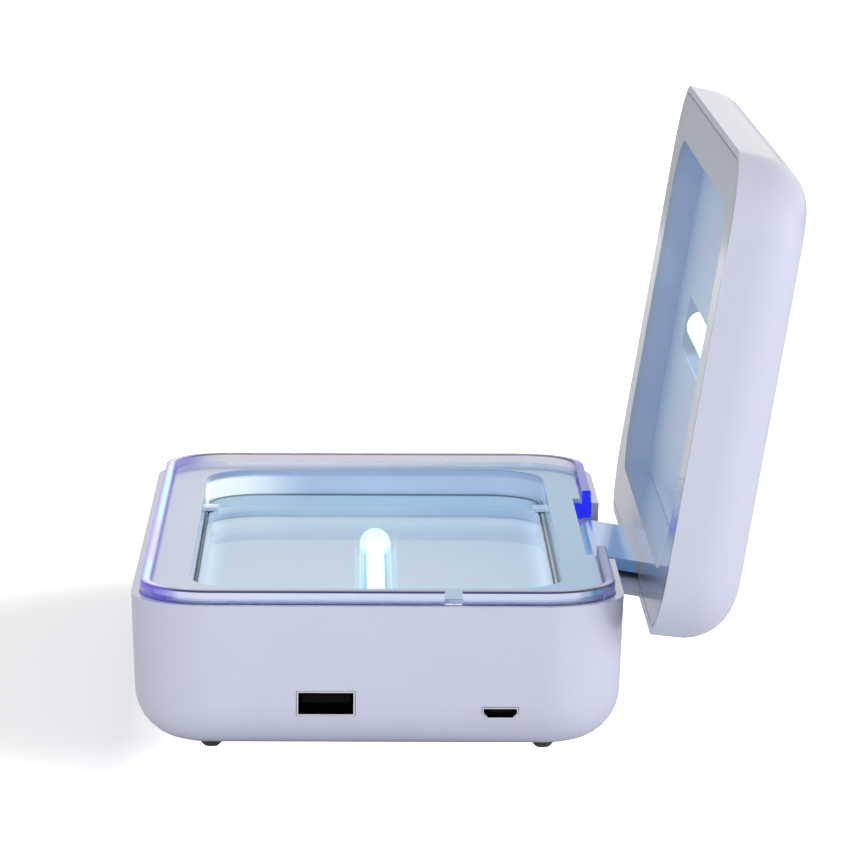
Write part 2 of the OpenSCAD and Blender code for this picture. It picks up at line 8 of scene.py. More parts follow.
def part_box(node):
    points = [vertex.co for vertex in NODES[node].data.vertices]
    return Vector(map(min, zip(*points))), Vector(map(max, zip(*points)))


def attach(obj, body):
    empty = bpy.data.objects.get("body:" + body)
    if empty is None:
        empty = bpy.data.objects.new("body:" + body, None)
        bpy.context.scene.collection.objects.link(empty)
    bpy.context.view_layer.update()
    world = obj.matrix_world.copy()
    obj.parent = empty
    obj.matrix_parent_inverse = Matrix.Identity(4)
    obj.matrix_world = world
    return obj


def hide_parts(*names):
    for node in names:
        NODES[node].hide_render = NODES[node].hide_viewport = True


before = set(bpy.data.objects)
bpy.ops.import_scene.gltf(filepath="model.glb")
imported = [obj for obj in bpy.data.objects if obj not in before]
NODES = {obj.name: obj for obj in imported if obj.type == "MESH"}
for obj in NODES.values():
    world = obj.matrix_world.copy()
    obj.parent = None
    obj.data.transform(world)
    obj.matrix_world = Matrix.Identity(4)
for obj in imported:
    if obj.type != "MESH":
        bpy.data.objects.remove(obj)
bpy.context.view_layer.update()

bl_info = {
    "name": "Phone sanitizer box",
    "version": (1, 0, 0),
    "blender": (4, 5, 0),
    "location": "View3D > Sidebar > Sanitizer box",
    "description": "Finishes and lights an open sanitizer box over its fixed CAD model",
    "category": "Object",
}

# How far the lid is open in the CAD's rest pose
OPEN_ANGLE = math.radians(99.5)
# Heights of the two reflector sheets' visible faces, with the lid closed
BASE_SHEET = 0.0214
LID_SHEET = 0.0436

# The camera, fitted to the photograph. In pixels:
PHOTO_WIDTH = 841.0
PHOTO_MIDDLE = 354.43
FOCAL_LENGTH = 5000.0
# In millimetres, metres and degrees:
SENSOR_WIDTH = 36.0
CAMERA_PLACE = (-0.005376, -1.196901, 0.247409)
CAMERA_DROP = 8.894
CAMERA_TURN = 0.185

BLACK = (0.0, 0.0, 0.0)
WHITE = (1.0, 1.0, 1.0)

# Half the width of the floor, and the strength at which the camera sees it as white
FLOOR_HALF = 9.0
FLOOR_WHITE = 1.75
# Where most lights aim, then each light's place, aim, width and colour
MIDDLE = (0.0, 0.0, 0.03)
LIGHTS = {
    "key": ((0.95, -0.95, 0.55), MIDDLE, 0.9, WHITE),
    "front": ((-0.15, -0.68, 0.05), (0.0, 0.0, 0.01), 0.45, (0.98, 0.99, 1.0)),
    "side": ((1.3, -0.22, 0.22), MIDDLE, 0.7, WHITE),
    "back": ((0.0, 1.15, 0.2), MIDDLE, 0.8, WHITE),
    "top": ((-0.2, 0.3, 1.3), MIDDLE, 1.0, WHITE),
}

# Stretches that draw a pattern out along the box
LONG_LINES = (1.0, 0.03, 1.0)
DRAWN_LINES = (1.0, 0.08, 1.0)
LONG_CLOUDS = (1.0, 0.15, 1.0)

# How the mouldings' edges are found: points this near are one point, faces this near in
# angle are one flat, and edges sharper than this are rounded
SAME_POINT = 0.000001
SAME_FLAT = math.radians(0.4)
SHARP = math.radians(32)


# Settings

class PlasticSettings(bpy.types.PropertyGroup):
    """The glossy mouldings: both shells, the deck, the lid's frame and the button."""

    colour: FloatVectorProperty(
        name="Colour", description="Colour of the glossy mouldings",
        subtype="COLOR", size=3, min=0, max=1, default=(0.55, 0.57, 0.69))
    inner_colour: FloatVectorProperty(
        name="Inner colour", description="Colour of the lid's inner frame",
        subtype="COLOR", size=3, min=0, max=1, default=(0.39, 0.45, 0.55))
    deck_colour: FloatVectorProperty(
        name="Deck colour", description="Colour of the deck away from the hinge",
        subtype="COLOR", size=3, min=0, max=1, default=(0.50, 0.60, 0.85))
    # Painted light: the lid lamp's cool light, painted into the deck's colour at the hinge
    painted_cool_light_colour: FloatVectorProperty(
        name="Cool deck colour",
        description="Colour of the deck at the hinge, in the lid lamp's light",
        subtype="COLOR", size=3, min=0, max=1, default=(0.0, 0.33, 0.66))
    # Painted light: the lamp's blue light, painted into the hinge arm's colour
    painted_arm_light_colour: FloatVectorProperty(
        name="Arm colour", description="Colour of the hinge arm's inner side in the lamp's light",
        subtype="COLOR", size=3, min=0, max=1, default=(0.23, 0.52, 1.0))
    roughness: FloatProperty(
        name="Roughness", description="Roughness of the polished mouldings",
        min=0, max=1, default=0.2)
    edge: FloatProperty(
        name="Edge radius", description="Radius of the mouldings' edges",
        unit="LENGTH", min=0.00005, max=0.001, default=0.0003)


class LightSettings(bpy.types.PropertyGroup):
    """The clear ring, its glow and the two lamps."""

    ring_colour: FloatVectorProperty(
        name="Ring colour", description="Colour of the clear ring",
        subtype="COLOR", size=3, min=0, max=1, default=(0.91, 0.91, 1.0))
    ring_glow: FloatProperty(
        name="Ring glow", description="Strength of the light that leaves the ring",
        min=0, max=5, default=0.7)
    end_colour: FloatVectorProperty(
        name="Ring end colour", description="Colour of the light at the ring's far cut end",
        subtype="COLOR", size=3, min=0, max=1, default=(0.02, 0.03, 1.0))
    lamp_colour: FloatVectorProperty(
        name="Lamp colour", description="Colour of the glowing tubes",
        subtype="COLOR", size=3, min=0, max=1, default=(0.93, 1.0, 1.0))
    lamp_glow: FloatProperty(
        name="Lamp glow", description="Strength of the glowing tubes",
        min=0, max=40, default=2.4)


class GlassSettings(bpy.types.PropertyGroup):
    """The plate that a phone lies on."""

    tint: FloatVectorProperty(
        name="Tint", description="Colour that the plate gives to what is under it",
        subtype="COLOR", size=3, min=0, max=1, default=(0.93, 0.97, 0.98))
    edge_colour: FloatVectorProperty(
        name="Edge colour", description="Colour of the plate's cut edges",
        subtype="COLOR", size=3, min=0, max=1, default=(0.01, 0.08, 0.12))
    # Painted light: the far edge's paler look through the plate
    painted_far_edge_colour: FloatVectorProperty(
        name="Far edge colour",
        description="Colour of the plate's far edge, seen through the plate",
        subtype="COLOR", size=3, min=0, max=1, default=(0.55, 0.72, 0.84))


class StageSettings(bpy.types.PropertyGroup):
    """The floor and the studio light."""

    floor: FloatVectorProperty(
        name="Floor", description="Colour of the floor",
        subtype="COLOR", size=3, min=0, max=1, default=(0.93, 0.93, 0.94))
    key: FloatProperty(
        name="Key light", description="Power of the large soft light at the right",
        min=0, max=500, default=1.5)
    front: FloatProperty(
        name="Front light", description="Power of the low soft light in front",
        min=0, max=500, default=2.6)
    side: FloatProperty(
        name="Side light", description="Power of the soft light at the hinge's side",
        min=0, max=500, default=11.0)
    top: FloatProperty(
        name="Top light", description="Power of the soft light above",
        min=0, max=500, default=3.0)
    back: FloatProperty(
        name="Back light", description="Power of the low soft light behind",
        min=0, max=500, default=2.0)
    fill: FloatProperty(
        name="Fill", description="Strength of the light from all round",
        min=0, max=2, default=0.42)


# Shader maths

class Field:
    """A socket whose value changes over a surface. Arithmetic on it adds Math nodes."""

    def __init__(self, paint, socket):
        self.paint = paint
        self.socket = socket

    def _math(self, operation, first, second):
        return self.paint.add("ShaderNodeMath", {"operation": operation}, {0: first, 1: second})

    def __add__(self, other):
        return self._math("ADD", self, other)

    def __radd__(self, other):
        return self._math("ADD", other, self)

    def __sub__(self, other):
        return self._math("SUBTRACT", self, other)

    def __rsub__(self, other):
        return self._math("SUBTRACT", other, self)

    def __mul__(self, other):
        return self._math("MULTIPLY", self, other)

    def __rmul__(self, other):
        return self._math("MULTIPLY", other, self)

    def __pow__(self, other):
        return self._math("POWER", self, other)

    def __rpow__(self, other):
        return self._math("POWER", other, self)

    def __abs__(self):
        return self._math("ABSOLUTE", self, 0.0)

    def ramp(self, low, high):
        """0 below low, 1 above high and a smooth rise between them."""
        return self.paint.add(
            "ShaderNodeMapRange", {"interpolation_type": "SMOOTHSTEP"},
            {"Value": self, "From Min": low, "From Max": high, "To Min": 0.0, "To Max": 1.0})


class Paint:
    """A material or a world, and the one way in which nodes are added to it."""

    def __init__(self, name, owners="materials"):
        self.owner = getattr(bpy.data, owners).new(name)
        self.owner.use_nodes = True
        self.tree = self.owner.node_tree
        self.tree.nodes.clear()

    def add(self, kind, settings=None, sockets=None, output=0):
        """Adds a node of a kind, with its settings first and then its sockets' values or links."""
        node = self.tree.nodes.new(kind)
        for key, value in (settings or {}).items():
            setattr(node, key, value)
        for key, value in (sockets or {}).items():
            socket = node.inputs[key]
            if isinstance(value, Field):
                self.tree.links.new(value.socket, socket)
            elif socket.type == "RGBA":
                socket.default_value = (*value[:3], 1.0)
            else:
                socket.default_value = value
        return Field(self, node.outputs[output]) if node.outputs else None

    def place(self, stretch=None):
        """The place on the object in metres, stretched along its axes if asked."""
        spot = self.add("ShaderNodeTexCoord", output="Object")
        if stretch is None:
            return spot
        return self.add("ShaderNodeVectorMath", {"operation": "MULTIPLY"}, {0: spot, 1: stretch})

    def axis(self, letter):
        return self.add("ShaderNodeSeparateXYZ", None, {0: self.place()}, letter)

    def noise(self, scale, detail=2.0, roughness=0.5, stretch=None):
        return self.add(
            "ShaderNodeTexNoise", None,
            {"Vector": self.place(stretch), "Scale": scale,
             "Detail": detail, "Roughness": roughness})

    def cells(self, scale):
        return self.add(
            "ShaderNodeTexVoronoi", None, {"Vector": self.place(), "Scale": scale}, "Distance")

    def facing(self):
        """0 where a face is seen straight on, and up to 1 where it is seen edge on."""
        return self.add("ShaderNodeLayerWeight", None, {"Blend": 0.5}, "Facing")

    def larger(self, first, second):
        return self.add("ShaderNodeMath", {"operation": "MAXIMUM"}, {0: first, 1: second})

    def mix(self, factor, first, second):
        """A colour between two colours."""
        return self.add("ShaderNodeMix", {"data_type": "RGBA"}, {0: factor, 6: first, 7: second}, 2)

    def bump(self, height, strength, distance):
        return self.add(
            "ShaderNodeBump", None, {"Strength": strength, "Distance": distance, "Height": height})

    def principled(self, **named):
        sockets = {key.replace("_", " "): value for key, value in named.items()}
        return self.add("ShaderNodeBsdfPrincipled", None, sockets)

    def either(self, factor, first, second):
        """One shader where the factor is 0 and the other where it is 1."""
        return self.add("ShaderNodeMixShader", None, {0: factor, 1: first, 2: second})

    def see_through(self, tint):
        return self.add("ShaderNodeBsdfTransparent", None, {"Color": tint})

    def finish(self, shader, output="ShaderNodeOutputMaterial"):
        self.add(output, None, {"Surface": shader})
        return self.owner


def shade(colour, gain):
    """A colour made a little lighter or darker."""
    return tuple(min(1.0, channel * gain) for channel in colour)


# Materials

def gloss(p, colour, roughness, **more):
    """Polished moulding: faint ripple, dust-fine grain and wide soft clouds in the polish."""
    cloud = p.noise(26, 3.0)
    ripple = p.noise(130, 1.0)
    grain = p.noise(1500, 2.0)
    skin = p.mix(cloud * 0.05, colour, BLACK)
    normal = p.bump(ripple * 0.8 + grain * 0.2, 0.12, 0.00004)
    return p.finish(p.principled(
        Base_Color=skin, Roughness=roughness + 0.06 * cloud, Normal=normal,
        IOR=1.5, Coat_Weight=0.35, Coat_Roughness=0.08, Specular_IOR_Level=0.5, **more))


def gloss_plastic(name, colour, roughness):
    return gloss(Paint(name), colour, roughness)


def deck_plastic(settings):
    """The deck: lavender white at the left, with the lid lamp's cool light painted onto its top
    towards the lid's lamp. Under its top the base lamp's light is painted on its walls as a glow,
    most of all in the left corners, and the long walls beside the glass have painted shade in dark
    teal."""
    p = Paint("deck_gloss")
    x, y, z = p.axis("X"), p.axis("Y"), p.axis("Z")
    deck_top, glass_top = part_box("tray_deck")[1].z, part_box("glass_plate")[1].z
    left_edge, right_edge = -0.055, 0.045
    long_wall, wall_end = (0.0405, 0.0415), (0.066, 0.074)
    corner_start, left_part = (0.050, 0.068), (-0.042, -0.015)
    top = z.ramp(deck_top - 0.0002, deck_top - 0.0001)
    # Painted light: the top turns to the cool colour towards the lid's lamp
    skin = p.mix(x.ramp(left_edge, right_edge) * top, settings.deck_colour, settings.painted_cool_light_colour)
    # Painted light: the walls under the top glow with the base lamp's light, most in the left
    # corners
    under = 1.0 - z.ramp(deck_top - 0.0022, deck_top - 0.0012)
    # Painted shade: the long walls beside the glass, below its top, turn dark teal and lose their
    # glow
    beside = abs(x).ramp(*long_wall) * (1.0 - abs(y).ramp(*wall_end))
    beside = beside * (1.0 - z.ramp(glass_top + 0.0002, glass_top + 0.0005))
    corner = abs(y).ramp(*corner_start) * (1.0 - x.ramp(*left_part))
    dim_light, bright_light, painted_shade_teal = (0.09, 0.13, 0.14), (0.66, 0.68, 0.54), (0.01, 0.07, 0.10)
    light = p.mix(beside, p.mix(corner, dim_light, bright_light), BLACK)
    return gloss(
        p, p.mix(beside, skin, painted_shade_teal), settings.roughness * 0.8,
        Emission_Color=p.mix(under, BLACK, light), Emission_Strength=1.0)


def lid_place(p):
    """A place across and into the lid, as if the lid was closed."""
    low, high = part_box("hinge_pin")
    pin = (low + high) / 2.0
    across, up = p.axis("X") - pin.x, p.axis("Z") - pin.z
    sine, cosine = math.sin(OPEN_ANGLE), math.cos(OPEN_ANGLE)
    return pin.x + (across * cosine - up * sine), pin.z + (across * sine + up * cosine)


def lid_frame_plastic(settings):
    """The lid's frame: pale round its mouth, with the lamp's blue light painted on inside and on
    the inner side of the hinge arm, and a thin painted shadow line where it meets the shell."""
    p = Paint("pale_gloss")
    x, z = lid_place(p)
    y, half_y = p.axis("Y"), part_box("lid_frame")[1].y
    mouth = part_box("light_ring")[1].z
    half_x, corner = 0.05402, 0.01652
    near_end, near_shift = (-0.094, -0.090), 0.0012
    arm_back, deck_side = (0.0550, 0.0556), (0.0500, 0.0525)
    arm = 1.0 - z.ramp(mouth - 0.0012, mouth - 0.0002)
    inside = z.ramp(mouth + 0.0012, mouth + 0.0025)
    near = 1.0 - y.ramp(*near_end)
    inset = rounded_inset(p, x, y, half_x, half_y, corner) - near_shift * near
    # Painted shadow: a thin grey line where the frame meets the shell
    line = 1.0 - inset.ramp(0.0003, 0.0006)
    line_grey = (0.16, 0.17, 0.20)
    skin = p.mix(line * (1.0 - arm), settings.inner_colour, line_grey)
    # Painted light: the arm's inner side takes the lamp's blue as its colour
    skin = p.mix(arm * (1.0 - x.ramp(*arm_back)), skin, settings.painted_arm_light_colour)
    # Painted light: a glow inside the lid and on the arm near the deck
    near_deck = arm * (1.0 - p.axis("X").ramp(*deck_side))
    inner_light, arm_light = (0.0, 0.015, 0.07), (0.22, 0.36, 0.46)
    light = p.mix(near_deck, p.mix(inside, BLACK, inner_light), arm_light)
    return gloss(p, skin, settings.roughness * 0.8, Emission_Color=light, Emission_Strength=1.0)


def rounded_inset(p, x, y, half_x, half_y, corner):
    """How far a place is inside a rectangle with round corners, measured near its edge."""
    across = p.larger(abs(x) - (half_x - corner), 0.0)
    along = p.larger(abs(y) - (half_y - corner), 0.0)
    return corner - (across * across + along * along) ** 0.5


def ring_plastic(settings, ring):
    """Clear acrylic that carries light round. On the left it shows its small lamps as long
    streaks between violet edges, and its far cut end lets deep blue light out."""
    p = Paint("clear_ring")
    x, y, z = p.axis("X"), p.axis("Y"), p.axis("Z")
    inset = ring.depth(p, x, y)

    # The ring's runs, its cut end beyond the hinge and its upper face
    left = 1.0 - x.ramp(-0.0515, -0.044)
    front = (1.0 - y.ramp(-0.0955, -0.0935)) * z.ramp(0.0339, 0.0345)
    right = x.ramp(0.0455, 0.0515) * (1.0 - abs(y).ramp(0.078, 0.092))
    far_cut = x.ramp(0.040, 0.046) * y.ramp(0.0, 0.01) * (1.0 - y.ramp(0.0387, 0.0391))
    face = z.ramp(0.0352, 0.0364)

    # Bands of the wall, from its outer face to its inner one, and the lamps' two streaks in it
    outer_band = 1.0 - inset.ramp(0.0003, 0.00055)
    core = inset.ramp(0.0007, 0.0012)
    inner_band = inset.ramp(0.0018, 0.0021)
    far_streak = y.ramp(-0.03, 0.02) * (1.0 - y.ramp(0.066, 0.082))
    near_streak = 1.0 - abs(y + 0.07).ramp(0.006, 0.016)

    # Cyan streaks between violet bands on the left, slate and blue on the right, pale in front
    cyan, lilac, violet = (0.48, 0.98, 1.0), (0.66, 0.55, 0.96), (0.40, 0.36, 0.90)
    deep_violet, grey_violet = (0.10, 0.08, 0.58), (0.34, 0.33, 0.62)
    slate, blue, pale = (0.07, 0.10, 0.27), (0.03, 0.03, 0.40), (0.66, 0.70, 0.84)
    lit = p.mix(core, violet, p.mix(far_streak + near_streak, lilac, cyan))
    lit = p.mix(inner_band, lit, grey_violet)
    lit = p.mix(outer_band, lit, deep_violet)
    lit = p.mix(right, lit, p.mix(y.ramp(-0.01, 0.01), slate, blue))
    lit = p.mix(front, lit, pale)

    # Painted shade: dark lines along both edges of the upper face, where the clear edges show dark,
    # and the upper face painted dark all over in front
    painted_edge_shade = (0.045, 0.05, 0.11)
    rim = (1.0 - inset.ramp(0.00025, 0.00045)) + inset.ramp(0.0018, 0.0020)
    dark = z.ramp(0.0360, 0.0362) * (rim * (1.0 - left) + front * 0.9)
    lit = p.mix(far_cut, p.mix(dark, lit, painted_edge_shade), settings.end_colour)

    haze = p.noise(40, 3.0)
    normal = p.bump(p.noise(300, 2.0), 0.05, 0.00003)
    # Painted light: the small lamps' violet light, given to the clear ring's left run as a tint
    painted_violet_light = (0.52, 0.50, 0.93)
    tint = p.mix((0.0 - x).ramp(0.040, 0.051), settings.ring_colour, painted_violet_light)
    clear = p.principled(
        Base_Color=tint, Roughness=0.02 + 0.04 * haze, Normal=normal, IOR=1.49,
        Transmission_Weight=1.0)
    glowing = p.principled(
        Base_Color=p.mix(0.4, lit, BLACK), Roughness=0.1 + 0.05 * haze, Normal=normal,
        Specular_IOR_Level=0.15, Emission_Color=lit, Emission_Strength=settings.ring_glow)
    share = left * (0.25 + 0.6 * face) + right * (0.3 + 0.7 * face) * (1.0 - far_cut)
    share = share + far_cut * 0.95 + front * (1.0 - left) * 0.4 + dark * 0.7
    return p.finish(p.either(share, clear, glowing))


def plate_glass(settings):
    """Float glass: clear faces that mirror at a shallow angle, and teal cut edges. The far edge,
    seen through the plate, is painted paler with a faint painted glow."""
    p = Paint("plate_glass")
    facing = p.facing()
    normal = p.add("ShaderNodeNewGeometry", output="True Normal")
    upright = abs(p.add("ShaderNodeSeparateXYZ", None, {0: normal}, "Z"))
    rim = 1.0 - upright.ramp(0.3, 0.6)
    smear = p.noise(34, 5.0, 0.6).ramp(0.5, 0.75)
    clear = p.see_through(settings.tint)
    mirror = p.principled(
        Base_Color=(0.96, 0.98, 1.0), Metallic=1.0, Roughness=0.02 + 0.05 * smear)
    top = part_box("glass_plate")[1].z
    back = p.axis("Y").ramp(0.068, 0.076) * (1.0 - p.axis("Z").ramp(top - 0.0006, top - 0.0003))
    teal = p.mix(
        p.noise(300, 2.0), shade(settings.edge_colour, 0.8), shade(settings.edge_colour, 1.3))
    # Painted light: the far edge glows faintly
    back_light = (0.10, 0.12, 0.15)
    edge = p.principled(
        Base_Color=p.mix(back, teal, settings.painted_far_edge_colour), Roughness=0.12 + 0.1 * smear,
        Specular_IOR_Level=0.0, Emission_Color=p.mix(back, BLACK, back_light),
        Emission_Strength=1.0)
    face = p.either(0.03 + 0.5 * facing ** 5.0 + 0.02 * smear, clear, mirror)
    return p.finish(p.either(rim, face, edge))


def lamp_glass(name, tint, edge, falloff, dome, solid):
    """A lamp's outer tube: clear along its middle, with cool light at its edges. The edge is how
    bright they are, and a larger falloff makes them thinner. From the dome on, its round end is
    filled with light, more or less solidly."""
    p = Paint(name)
    facing = p.facing()
    cloud = p.noise(160, 2.0, stretch=LONG_CLOUDS)
    tube = p.principled(
        Base_Color=p.mix(cloud, (0.6, 0.8, 0.9), (0.7, 0.88, 0.95)),
        Roughness=0.06 + 0.04 * cloud, IOR=1.47,
        Emission_Color=p.mix(cloud, (0.66, 0.94, 1.0), (0.80, 0.99, 1.0)), Emission_Strength=1.1)
    clear = p.see_through(tint)
    end = p.axis("Y").ramp(dome, dome + 0.003)
    fill = edge * facing ** falloff + end * (solid + (0.9 - solid) * facing ** 3.0)
    return p.finish(p.either(fill, clear, tube))


def lamp_glow(settings):
    """The discharge tube itself, a little dimmer at its plug's end."""
    p = Paint("lamp_glow")
    away = p.axis("Y").ramp(-0.062, -0.05)
    grain = p.noise(500, 2.0)
    colour = p.mix(
        away * 0.8 + 0.2 * grain, shade(settings.lamp_colour, 0.75), settings.lamp_colour)
    return p.finish(p.principled(
        Base_Color=p.mix(grain, (0.9, 0.95, 0.96), (0.95, 0.98, 1.0)),
        Roughness=0.3 + 0.1 * grain, Emission_Color=colour, Emission_Strength=settings.lamp_glow))


def reflector_sheet(p, glow, trough, painted_trough_shade, trough_light):
    """Satin coated reflector: long rolling lines and a soft mottled sheen, painted bluer towards +x
    as cool lamp light, with a painted glow. The trough round its lamp has painted shade in its
    colour and painted lamp light."""
    lines = p.noise(900, 3.0, 0.6, LONG_LINES)
    cloud = p.noise(30, 3.0)
    satin, pale_satin, painted_lamplight_satin = (0.66, 0.76, 0.87), (0.71, 0.81, 0.91), (0.50, 0.66, 0.88)
    sheet = p.mix(cloud, satin, pale_satin)
    # Painted light: the sheet turns bluer towards +x, as cool lamp light
    sheet = p.mix(p.axis("X").ramp(-0.01, 0.045) * 0.8, sheet, painted_lamplight_satin)
    # Painted shade and light: the trough is darker and glows with its lamp's light
    return p.finish(p.principled(
        Base_Color=p.mix(trough, sheet, painted_trough_shade), Metallic=0.15 + 0.1 * cloud,
        Roughness=0.26 + 0.12 * lines + 0.3 * trough, Normal=p.bump(lines, 0.15, 0.00003),
        Emission_Color=p.mix(trough, glow, trough_light), Emission_Strength=1.0))


def base_reflector():
    """The sheet under the glass, painted brighter with a glow on its far wall and its side walls.
    """
    p = Paint("reflector")
    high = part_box("base_reflector")[1]
    far_wall = p.axis("Y").ramp(high.y - 0.024, high.y - 0.004)
    side_wall = abs(p.axis("X")).ramp(high.x - 0.007, high.x)
    # Painted light: a glow on the far wall and the side walls, which lie in shade
    floor_light, far_light, side_light = (0.0, 0.0, 0.02), (0.11, 0.12, 0.12), (0.30, 0.35, 0.40)
    glow = p.mix(side_wall, p.mix(far_wall, floor_light, far_light), side_light)
    # Painted shade and light: the trough round the base lamp is darker and glows
    trough = 1.0 - p.axis("Z").ramp(BASE_SHEET - 0.0004, BASE_SHEET - 0.0001)
    return reflector_sheet(
        p, glow, trough, painted_trough_shade=(0.13, 0.19, 0.25), trough_light=(0.27, 0.33, 0.43))


def lid_reflector():
    """The sheet in the lid, with a pocket for its lamp, painted dark as shade and with the lamp's
    light painted in as a glow.
    """
    p = Paint("lid_reflector")
    pocket = lid_place(p)[1].ramp(LID_SHEET + 0.00005, LID_SHEET + 0.0002)
    return reflector_sheet(
        p, BLACK, pocket, painted_trough_shade=(0.03, 0.04, 0.05), trough_light=(0.26, 0.32, 0.43))


def silicone():
    """Matt white silicone of the lamps' plugs and clips."""
    p = Paint("white_silicone")
    grain = p.noise(1200, 3.0)
    dust = p.noise(120, 4.0, 0.6).ramp(0.5, 0.75)
    return p.finish(p.principled(
        Base_Color=p.mix(dust, (0.74, 0.77, 0.82), (0.66, 0.69, 0.74)),
        Roughness=0.55 + 0.2 * grain, Normal=p.bump(grain, 0.25, 0.00004), Sheen_Weight=0.1))


def rubber():
    """Black rubber of the feet: matt, finely pitted, dusty where it stands."""
    p = Paint("black_rubber")
    pits = p.noise(1800, 3.0)
    worn = 1.0 - p.axis("Z").ramp(-0.0019, -0.0012)
    dust = p.noise(260, 4.0, 0.6).ramp(0.45, 0.7)
    return p.finish(p.principled(
        Base_Color=p.mix(worn * dust, (0.07, 0.07, 0.08), (0.13, 0.13, 0.14)),
        Roughness=0.62 + 0.2 * pits, Normal=p.bump(pits, 0.4, 0.00005)))


def bright_metal(name, colour, roughness, mouth=None):
    """Plated steel with drawn lines and small stains. Behind its mouth a socket is in the dark."""
    p = Paint(name)
    lines = p.noise(1600, 3.0, 0.6, DRAWN_LINES)
    stain = p.noise(220, 4.0, 0.6).ramp(0.5, 0.75)
    plate = p.mix(stain, colour, shade(colour, 0.8))
    if mouth is not None:
        inside = p.axis("Y").ramp(mouth + 0.0001, mouth + 0.0006)
        plate = p.mix(inside, plate, (0.002, 0.002, 0.003))
    return p.finish(p.principled(
        Base_Color=plate, Metallic=1.0,
        Roughness=roughness + 0.12 * lines + 0.1 * stain, Normal=p.bump(lines, 0.15, 0.00002)))


def matt_plastic(name, colour, roughness=0.5, gleam=0.5):
    """Moulded insulator with a fine spark-eroded skin."""
    p = Paint(name)
    grain = p.noise(1700, 3.0)
    cloud = p.noise(90, 3.0)
    return p.finish(p.principled(
        Base_Color=p.mix(cloud, shade(colour, 0.85), shade(colour, 1.2)),
        Roughness=roughness + 0.15 * grain, Normal=p.bump(grain, 0.3, 0.00004),
        Specular_IOR_Level=gleam))


def board_green():
    """Solder mask over copper lines, seen as slightly raised and lighter bands."""
    p = Paint("board_green")
    tracks = p.add("ShaderNodeTexBrick", {"offset": 0.37, "squash": 1.0}, {
        "Vector": p.place(), "Scale": 160.0, "Mortar Size": 0.06, "Mortar Smooth": 0.2,
        "Brick Width": 1.7, "Row Height": 0.6}, "Fac")
    weave = p.noise(900, 2.0)
    mask = p.mix(weave, (0.008, 0.075, 0.03), (0.012, 0.095, 0.04))
    return p.finish(p.principled(
        Base_Color=p.mix(tracks, mask, (0.03, 0.18, 0.08)), Roughness=0.28 + 0.15 * weave,
        Normal=p.bump(tracks + 0.2 * weave, 0.3, 0.00004), Coat_Weight=0.3))


def strip_film():
    """Pale flexible film with copper pads showing through."""
    p = Paint("strip_film")
    pads = p.noise(420, 1.0, 0.4, (1.0, 1.0, 0.2)).ramp(0.55, 0.6)
    grain = p.noise(1300, 2.0)
    return p.finish(p.principled(
        Base_Color=p.mix(pads, (0.74, 0.72, 0.66), (0.62, 0.44, 0.26)), Metallic=pads * 0.6,
        Roughness=0.4 + 0.15 * grain, Normal=p.bump(grain, 0.2, 0.00003)))


def led_lens():
    """Small light-emitting diodes: amber gel in a white case, with blue light coming out."""
    p = Paint("led_lens")
    gel = p.cells(900).ramp(0.3, 0.5)
    return p.finish(p.principled(
        Base_Color=p.mix(gel, (0.8, 0.55, 0.12), (0.85, 0.84, 0.78)), Roughness=0.3 + 0.1 * gel,
        Emission_Color=p.mix(gel, (0.1, 0.15, 1.0), (0.02, 0.03, 0.2)), Emission_Strength=2.0))


# Dressing the CAD nodes

def dress(material, *names):
    """Gives CAD nodes a material."""
    for name in names:
        mesh = NODES[name].data
        mesh.materials.clear()
        mesh.materials.append(material)


def round_edges(width, *names):
    """Rounds every sharp edge of CAD nodes, as a mould does, without moving their vertices."""
    for name in names:
        node = NODES[name]
        for face in node.data.polygons:
            face.use_smooth = True
        weld = node.modifiers.new("weld", "WELD")
        weld.merge_threshold = SAME_POINT
        flat = node.modifiers.new("flat", "DECIMATE")
        flat.decimate_type = "DISSOLVE"
        flat.angle_limit = SAME_FLAT
        bevel = node.modifiers.new("edge", "BEVEL")
        bevel.width = width
        bevel.segments = 2
        bevel.limit_method = "ANGLE"
        bevel.angle_limit = SHARP
        bevel.use_clamp_overlap = True
        even = node.modifiers.new("even", "WEIGHTED_NORMAL")
        even.weight = 60
        even.keep_sharp = False


# The clear ring, built with small rounded edges

class Skin:
    """A closed mesh made face by face, with a normal for each corner of each face."""

    def __init__(self):
        self.points, self.found, self.faces, self.normals = [], {}, [], []

    def _point(self, spot):
        key = tuple(round(value, 7) for value in spot)
        if key not in self.found:
            self.found[key] = len(self.points)
            self.points.append(key)
        return self.found[key]

    def face(self, corners, normals):
        """Adds a face that is turned the way its normals point."""
        turn = Vector((0.0, 0.0, 0.0))
        for here, after in zip(corners, (*corners[1:], corners[0])):
            turn += here.cross(after)
        if turn.dot(sum(normals, Vector((0.0, 0.0, 0.0)))) < 0:
            corners, normals = corners[::-1], normals[::-1]
        self.faces.append([self._point(corner) for corner in corners])
        self.normals.extend(normals)

    def piece(self, name, material):
        mesh = bpy.data.meshes.new(name)
        mesh.from_pydata(self.points, [], self.faces)
        for face in mesh.polygons:
            face.use_smooth = True
        mesh.normals_split_custom_set([tuple(normal.normalized()) for normal in self.normals])
        mesh.materials.append(material)
        piece = bpy.data.objects.new(name, mesh)
        bpy.context.scene.collection.objects.link(piece)
        return piece


def straight(first, second, out):
    """A straight piece of a section, with the same normal at both its ends."""
    return ((first, out), (second, out))


